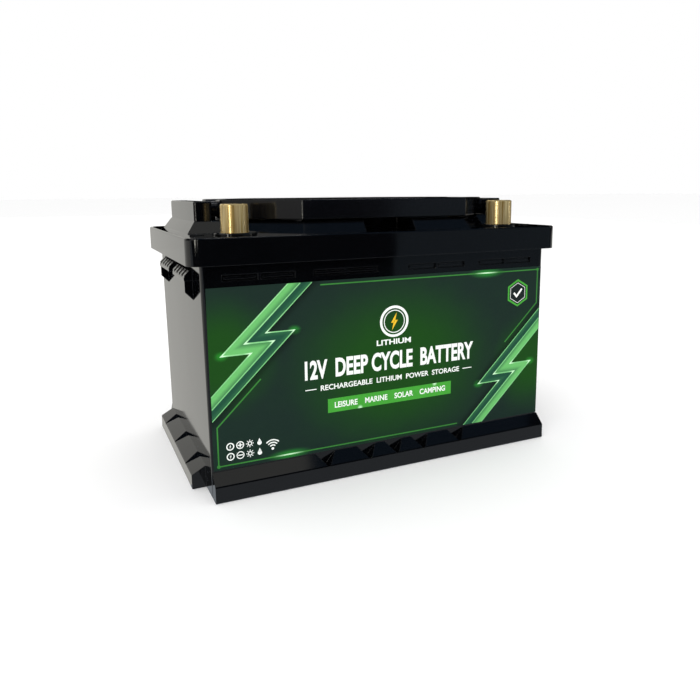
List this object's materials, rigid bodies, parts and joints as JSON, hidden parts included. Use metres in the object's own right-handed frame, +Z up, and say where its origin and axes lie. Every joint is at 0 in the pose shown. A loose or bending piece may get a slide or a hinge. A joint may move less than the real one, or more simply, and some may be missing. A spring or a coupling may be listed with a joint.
{
  "type": "deep cycle battery",
  "caption": "Black lithium leisure battery in a standard starter-size case, with brass posts, fold-up carry handles, end hand grips, base hold-down ledges and a printed front label.",
  "frame": {"origin": "middle of the footprint, on the surface it stands on", "axes": "+X along the length towards the positive post, -Y towards the labelled side, +Z up"},
  "size_m": [0.278, 0.175, 0.19],
  "materials": {
    "case_plastic": "glossy moulded black",
    "handle_plastic": "glossy moulded black",
    "label_print": "printed film, semi-gloss",
    "post_brass": "turned brass",
    "collar_plastic": "black",
    "seal_rubber": "soft black",
    "seal_bead": "cured sealant",
    "cell_case": "blue film over aluminium",
    "sheet_epoxy": "epoxy glass sheet",
    "strap_steel": "plain",
    "foam": "closed-cell foam",
    "link_metal": "nickel-plated",
    "fastener_steel": "zinc-plated",
    "tray_plastic": "matt black",
    "sink_aluminium": "anodised",
    "board_epoxy": "solder mask",
    "module_can": "tinned can",
    "plug_plastic": "natural nylon",
    "cable_red": "silicone jacket",
    "cable_black": "silicone jacket",
    "lug_metal": "tinned copper",
    "wire_white": "thin insulation",
    "wire_red": "thin insulation",
    "wire_black": "thin insulation"
  },
  "bodies": {
    "battery": {"balance_connector": "plug_plastic", "balance_wire_1": "wire_black", "balance_wire_2": "wire_white", "balance_wire_3": "wire_white", "balance_wire_4": "wire_white", "balance_wire_5": "wire_red", "base_pad": "foam", "bms_board": "board_epoxy", "bms_heat_sink": "sink_aluminium", "bms_screws": "fastener_steel", "bms_spacers": "fastener_steel", "bms_tray": "tray_plastic", "cell_1": "cell_case", "cell_2": "cell_case", "cell_3": "cell_case", "cell_4": "cell_case", "cell_spacers": "sheet_epoxy", "container": "case_plastic", "front_end_plate": "sheet_epoxy", "front_label": "label_print", "left_foam": "foam", "lid": "case_plastic", "lid_seal": "seal_bead", "link_nuts": "fastener_steel", "lower_strap": "strap_steel", "negative_cable": "cable_black", "negative_cable_lugs": "lug_metal", "negative_collar": "collar_plastic", "negative_post": "post_brass", "negative_post_seal": "seal_rubber", "output_cable": "cable_black", "output_cable_lugs": "lug_metal", "pad_screws": "fastener_steel", "positive_cable": "cable_red", "positive_cable_lugs": "lug_metal", "positive_collar": "collar_plastic", "positive_post": "post_brass", "positive_post_seal": "seal_rubber", "post_nuts": "fastener_steel", "post_washers": "fastener_steel", "radio_module": "module_can", "rear_end_plate": "sheet_epoxy", "right_foam": "foam", "sensor_lead": "wire_black", "series_link_1": "link_metal", "series_link_2": "link_metal", "series_link_3": "link_metal", "temperature_sensor": "wire_black", "top_cover": "case_plastic", "upper_strap": "strap_steel"},
    "front_handle": {"front_handle": "handle_plastic"},
    "rear_handle": {"rear_handle": "handle_plastic"}
  },
  "joints": [
    {"name": "front_handle_fold", "type": "hinge", "parent": "battery", "child": "front_handle", "pos_m": [0, -0.02, 0.1835], "axis": [-1, 0, 0], "range_deg": [0, 100]},
    {"name": "rear_handle_fold", "type": "hinge", "parent": "battery", "child": "rear_handle", "pos_m": [0, 0.02, 0.1835], "axis": [1, 0, 0], "range_deg": [0, 100]}
  ]
}
